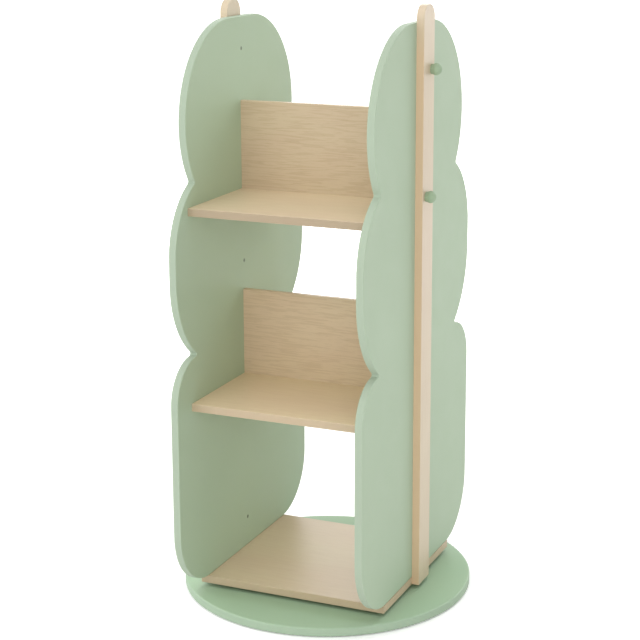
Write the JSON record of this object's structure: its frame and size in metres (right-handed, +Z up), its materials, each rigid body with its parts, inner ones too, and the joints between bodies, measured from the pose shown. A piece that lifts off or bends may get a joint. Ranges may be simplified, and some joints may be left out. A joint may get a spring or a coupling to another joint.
{
  "type": "revolving bookcase",
  "caption": "Free-standing children's bookcase: lobed side panels, open tiers with dividers and outer slats with pegs, turning on a round floor disc.",
  "frame": {"origin": "on the floor at the middle of the round disc, on the axis that the bookcase turns about", "axes": "+Z up along the turning axis; +X towards the right panel and slat; -Y is the open front in the picture"},
  "size_m": [0.5799, 0.5864, 1.1695],
  "materials": {
    "green_paint": "satin paint on fibreboard",
    "veneer": "clear matt lacquer on pale maple veneer",
    "slat_wood": "clear matt lacquer on solid pale wood",
    "dowel_wood": "bare turned beech",
    "screw_steel": "zinc-plated",
    "cam_zinc": "die-cast, nickel-plated",
    "ring_aluminium": "mill finish",
    "ball_steel": "polished",
    "cage_nylon": "natural nylon",
    "pad_rubber": "matt foam rubber"
  },
  "bodies": {
    "floor_base": {"base_pads": "pad_rubber", "base_disc": "green_paint", "bearing_outer_ring": "ring_aluminium", "outer_ring_screws": "screw_steel"},
    "ball_race": {"ball_cage": "cage_nylon", "bearing_balls": "ball_steel"},
    "carcass": {"bearing_inner_ring": "ring_aluminium", "inner_ring_screws": "screw_steel", "bottom_board": "veneer", "left_panel": "green_paint", "left_panel_screws": "screw_steel", "left_slat": "slat_wood", "left_slat_screws": "screw_steel", "left_upper_peg": "green_paint", "left_lower_peg": "green_paint", "right_panel": "green_paint", "right_panel_screws": "screw_steel", "right_slat": "slat_wood", "right_slat_screws": "screw_steel", "right_upper_peg": "green_paint", "right_lower_peg": "green_paint", "middle_shelf": "veneer", "middle_divider": "veneer", "middle_shelf_cams": "cam_zinc", "middle_shelf_cam_bolts": "cam_zinc", "middle_shelf_dowels": "dowel_wood", "middle_divider_screws": "screw_steel", "middle_divider_dowels": "dowel_wood", "upper_shelf": "veneer", "upper_divider": "veneer", "upper_shelf_cams": "cam_zinc", "upper_shelf_cam_bolts": "cam_zinc", "upper_shelf_dowels": "dowel_wood", "upper_divider_screws": "screw_steel", "upper_divider_dowels": "dowel_wood"}
  },
  "joints": [
    {"name": "carcass_spin", "type": "hinge", "parent": "floor_base", "child": "carcass", "pos_m": [0, 0, 0.024], "axis": [0, 0, 1], "continuous": true},
    {"name": "ball_race_spin", "type": "hinge", "parent": "floor_base", "child": "ball_race", "pos_m": [0, 0, 0.024], "axis": [0, 0, 1], "continuous": true}
  ],
  "couplings": [
    {"joint": "ball_race_spin", "follows": "carcass_spin", "ratio": 0.5}
  ]
}
